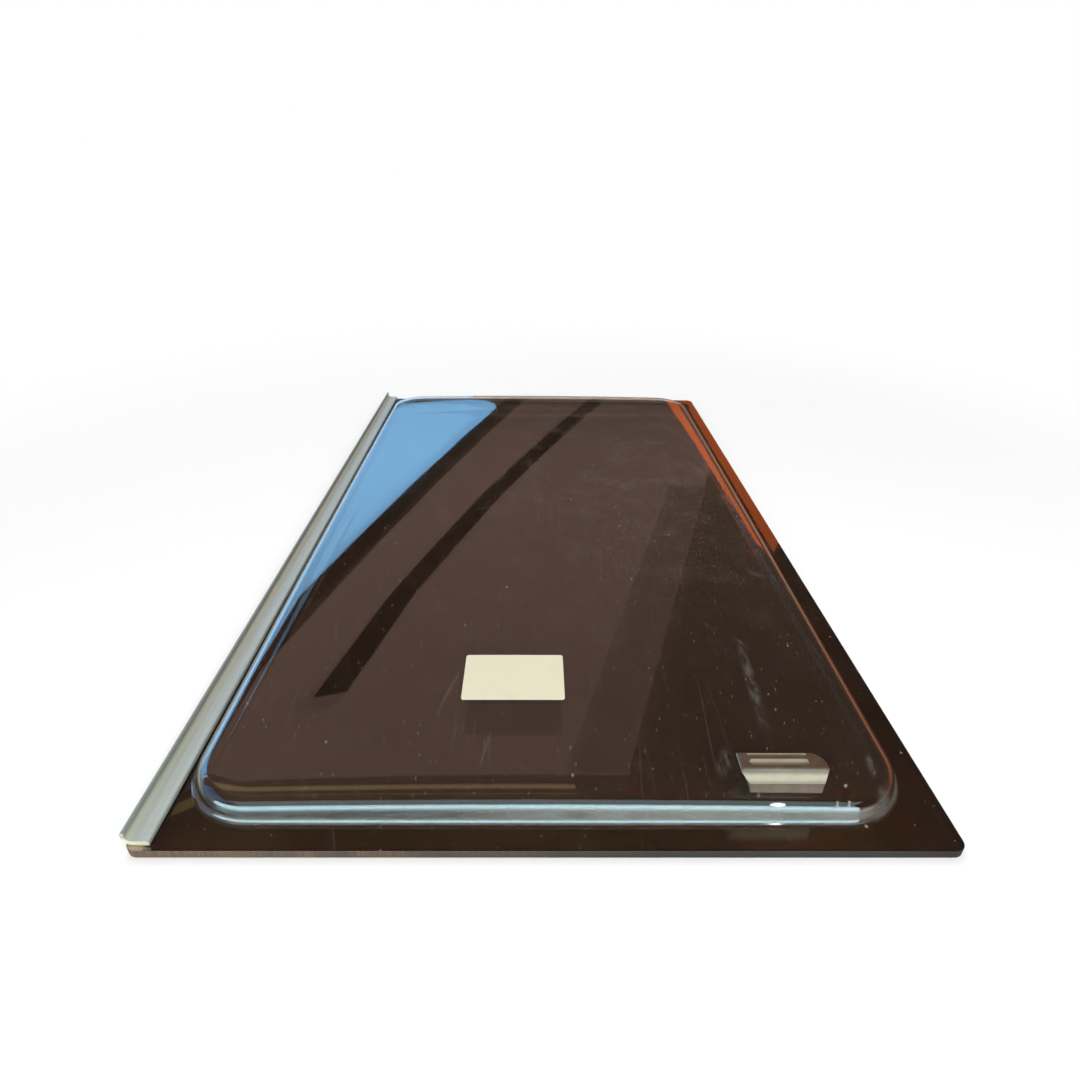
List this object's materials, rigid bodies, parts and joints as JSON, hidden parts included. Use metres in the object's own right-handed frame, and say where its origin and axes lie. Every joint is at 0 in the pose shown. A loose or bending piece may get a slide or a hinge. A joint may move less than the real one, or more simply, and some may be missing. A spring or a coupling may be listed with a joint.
{
  "type": "caravan window",
  "caption": "Top-hinged caravan window with bonded smoked acrylic skins, the inner one formed into a shallow dome, an aluminium hinge rail and a swivelling corner catch.",
  "frame": {"origin": "centre of the bounding box on the plane of the outer pane's outer face, on which the window lies", "axes": "+Y along the hinge edge, away from the catch; +X from the hinge edge to the catch edge; +Z out of the inner face"},
  "size_m": [0.5106, 0.862, 0.0416],
  "materials": {
    "outer_acrylic": "gloss",
    "inner_acrylic": "gloss",
    "rail_aluminium": "satin",
    "bond_tape": "matte",
    "catch_base_plastic": "satin",
    "catch_lever_plastic": "gloss"
  },
  "bodies": {
    "window": {"outer_pane": "outer_acrylic", "inner_pane": "inner_acrylic", "hinge_rail": "rail_aluminium", "rail_bond": "bond_tape", "catch_base": "catch_base_plastic"},
    "catch": {"catch_lever": "catch_lever_plastic"}
  },
  "joints": [
    {"name": "catch_swivel", "type": "hinge", "parent": "window", "child": "catch", "pos_m": [0.1667, -0.39245, 0.0283], "axis": [0, 0, 1], "range_deg": [0, 90]}
  ]
}
